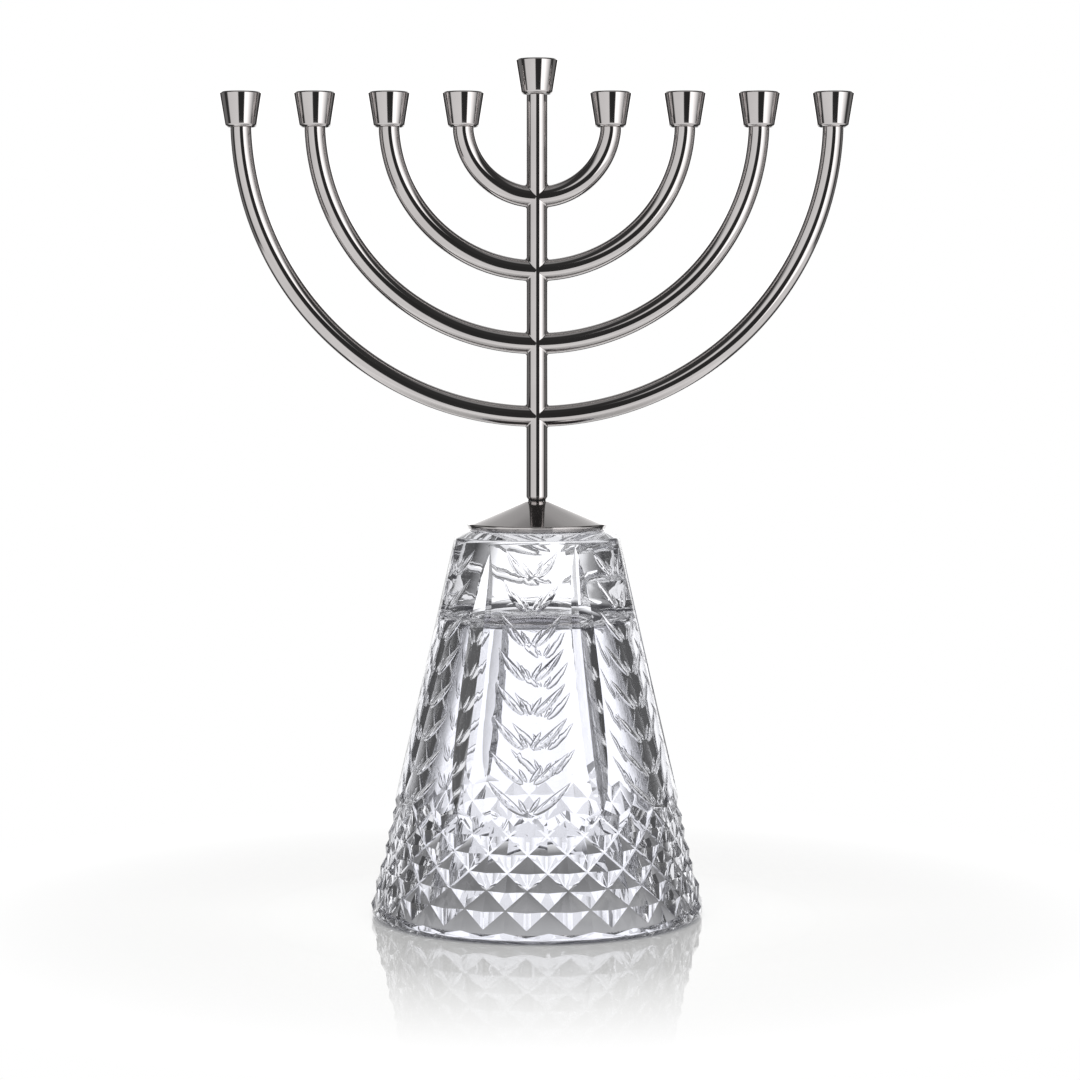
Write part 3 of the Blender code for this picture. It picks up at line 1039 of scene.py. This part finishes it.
def floor_disc(name, radius, material, hole=0.0):
    form = bmesh.new()
    outer = []
    for a in np.linspace(0, math.tau, DISC_SIDES, False):
        outer.append(form.verts.new((radius * math.cos(a), radius * math.sin(a), FLOOR_Z)))
    if hole:
        inner = [form.verts.new((v.co.x * hole / radius, v.co.y * hole / radius, FLOOR_Z)) for v in outer]
        for i in range(DISC_SIDES):
            j = (i + 1) % DISC_SIDES
            form.faces.new((inner[i], outer[i], outer[j], inner[j]))
    else:
        form.faces.new(outer)
    mesh = bpy.data.meshes.new(name)
    form.to_mesh(mesh)
    form.free()
    mesh.materials.append(material)
    made = bpy.data.objects.new(name, mesh)
    bpy.context.scene.collection.objects.link(made)
    return made


def build_floor():
    """The floor, and a white sweep round it that only the camera sees."""
    floor_disc("studio_floor", FLOOR_RADIUS, floor_material())
    sweep = floor_disc("studio_sweep", SWEEP_RADIUS, sweep_material(), hole=FLOOR_RADIUS)
    sweep.visible_diffuse = False
    sweep.visible_glossy = False
    sweep.visible_transmission = False
    sweep.visible_shadow = False


class Sky:
    """The world's nodes. The colours in it are shares of the sky's strength."""

    def __init__(self, tree):
        self.nodes, self.links = tree.nodes, tree.links
        self.nodes.clear()
        split = self.nodes.new("ShaderNodeSeparateXYZ")
        self.links.new(self.nodes.new("ShaderNodeTexCoord").outputs["Generated"], split.inputs[0])
        x, y, self.up = split.outputs
        angle = self.math("ARCTAN2", x, self.math("MULTIPLY", y, -1.0))
        self.turn = self.math("MULTIPLY_ADD", angle, 1 / math.tau, 0.5)

    def math(self, kind, *values):
        made = self.nodes.new("ShaderNodeMath")
        made.operation = kind
        for socket, value in zip(made.inputs, values):
            if isinstance(value, (int, float)):
                socket.default_value = value
            else:
                self.links.new(value, socket)
        return made.outputs["Value"]

    def round_about(self, stops):
        """Greys from (angle, brightness) stops."""
        made = ramp_of(self.nodes, [((a + 180.0) / 360.0, g / SKY_STRENGTH) for a, g in stops])
        self.links.new(self.turn, made.inputs["Fac"])
        return made.outputs["Color"]

    def upward(self, low, high):
        """Goes from 0 to 1 as the direction's upward share goes from low to high."""
        return mapped(self.nodes, self.links, self.up, low, high, 0.0, 1.0)

    def mixed(self, factor, first, second):
        made = self.nodes.new("ShaderNodeMix")
        made.data_type = "RGBA"
        self.links.new(factor, made.inputs["Factor"])
        for socket, value in ((made.inputs["A"], first), (made.inputs["B"], second)):
            if isinstance(value, tuple):
                socket.default_value = value
            else:
                self.links.new(value, socket)
        return made.outputs["Result"]


def metal_surroundings(sky):
    """Softboxes round about with dark gaps, a white backdrop above the horizon and a faint glow overhead."""
    level = sky.mixed(sky.upward(-0.37, -0.33), sky.round_about(BELOW), sky.round_about(SOFTBOXES))
    room = sky.mixed(sky.upward(0.44, 0.58), level, sky.round_about(OVERHEAD))
    backdrop = ramp_of(sky.nodes, BACKDROP)
    sky.links.new(sky.up, backdrop.inputs["Fac"])
    share = sky.math("MULTIPLY", sky.round_about(BACKDROP_SHARE), SKY_STRENGTH)
    share = sky.math("MULTIPLY", share, sky.upward(-0.03, 0.0))
    room = sky.mixed(share, room, backdrop.outputs["Color"])
    return sky.mixed(sky.upward(0.87, 0.95), room, (0.16, 0.16, 0.16, 1.0))


def crystal_surroundings(sky):
    """Bright strips round about, with dark below and above, for what is seen through the crystal."""
    level = sky.mixed(sky.upward(-0.6, -0.5), (0.12, 0.12, 0.125, 1.0), sky.round_about(THROUGH_CRYSTAL))
    return sky.mixed(sky.upward(0.2, 0.46), level, (0.03, 0.03, 0.033, 1.0))


def build_world():
    """One studio for the metal and one for the crystal. Matt surfaces see an even grey, the camera white."""
    world = bpy.data.worlds.new("studio")
    bpy.context.scene.world = world
    world.use_nodes = True
    sky = Sky(world.node_tree)
    path = sky.nodes.new("ShaderNodeLightPath")
    colour = sky.mixed(path.outputs["Is Transmission Ray"], metal_surroundings(sky), crystal_surroundings(sky))
    colour = sky.mixed(path.outputs["Is Diffuse Ray"], colour, (0.4, 0.4, 0.4, 1.0))
    colour = sky.mixed(path.outputs["Is Camera Ray"], colour, (0.5, 0.5, 0.5, 1.0))
    background = sky.nodes.new("ShaderNodeBackground")
    background.inputs["Strength"].default_value = SKY_STRENGTH
    sky.links.new(colour, background.inputs["Color"])
    output = sky.nodes.new("ShaderNodeOutputWorld")
    sky.links.new(background.outputs["Background"], output.inputs["Surface"])


def build_lamp():
    """A soft lamp overhead that lights the floor but isn't itself reflected."""
    lamp = bpy.data.lights.new("overhead_soft", "AREA")
    lamp.shape = "DISK"
    lamp.size = 0.9
    lamp.energy = 9.0
    made = bpy.data.objects.new("overhead_soft", lamp)
    made.location = (0.0, -0.1, 1.1)
    made.visible_glossy = False
    made.visible_transmission = False
    made.visible_camera = False
    bpy.context.scene.collection.objects.link(made)


def build_camera():
    camera = bpy.data.cameras.new("camera")
    camera.sensor_width = 36.0
    camera.lens = CAMERA_LENS
    camera.clip_start = 0.01
    camera.clip_end = 20.0
    made = bpy.data.objects.new("camera", camera)
    made.location = CAMERA_PLACE
    made.rotation_euler = (CAMERA_TILT, 0.0, 0.0)
    bpy.context.scene.collection.objects.link(made)
    bpy.context.scene.camera = made


def main():
    scene = bpy.context.scene
    scene.view_settings.view_transform = "Standard"
    scene.cycles.max_bounces = 24
    scene.cycles.transmission_bounces = 24
    scene.cycles.glossy_bounces = 12
    scene.cycles.transparent_max_bounces = 16
    nickel = nickel_material("bright_nickel")
    build_crystal(crystal_material())
    build_film(film_material())
    build_cap(nickel_material("cap_nickel", hazed=0.03))
    build_washer(nylon_material())
    build_stud(steel_material())
    build_stem(nickel)
    build_cup("center", "cup_center", nickel)
    for word in ("left", "right"):
        for pair in range(1, ARM_PAIRS + 1):
            build_arm(word, pair, nickel)
            build_braze(word, pair, nickel)
            build_cup(f"{word}_{pair}", f"cup_{word}_{pair}", nickel)
    build_floor()
    build_world()
    build_lamp()
    build_camera()


main()
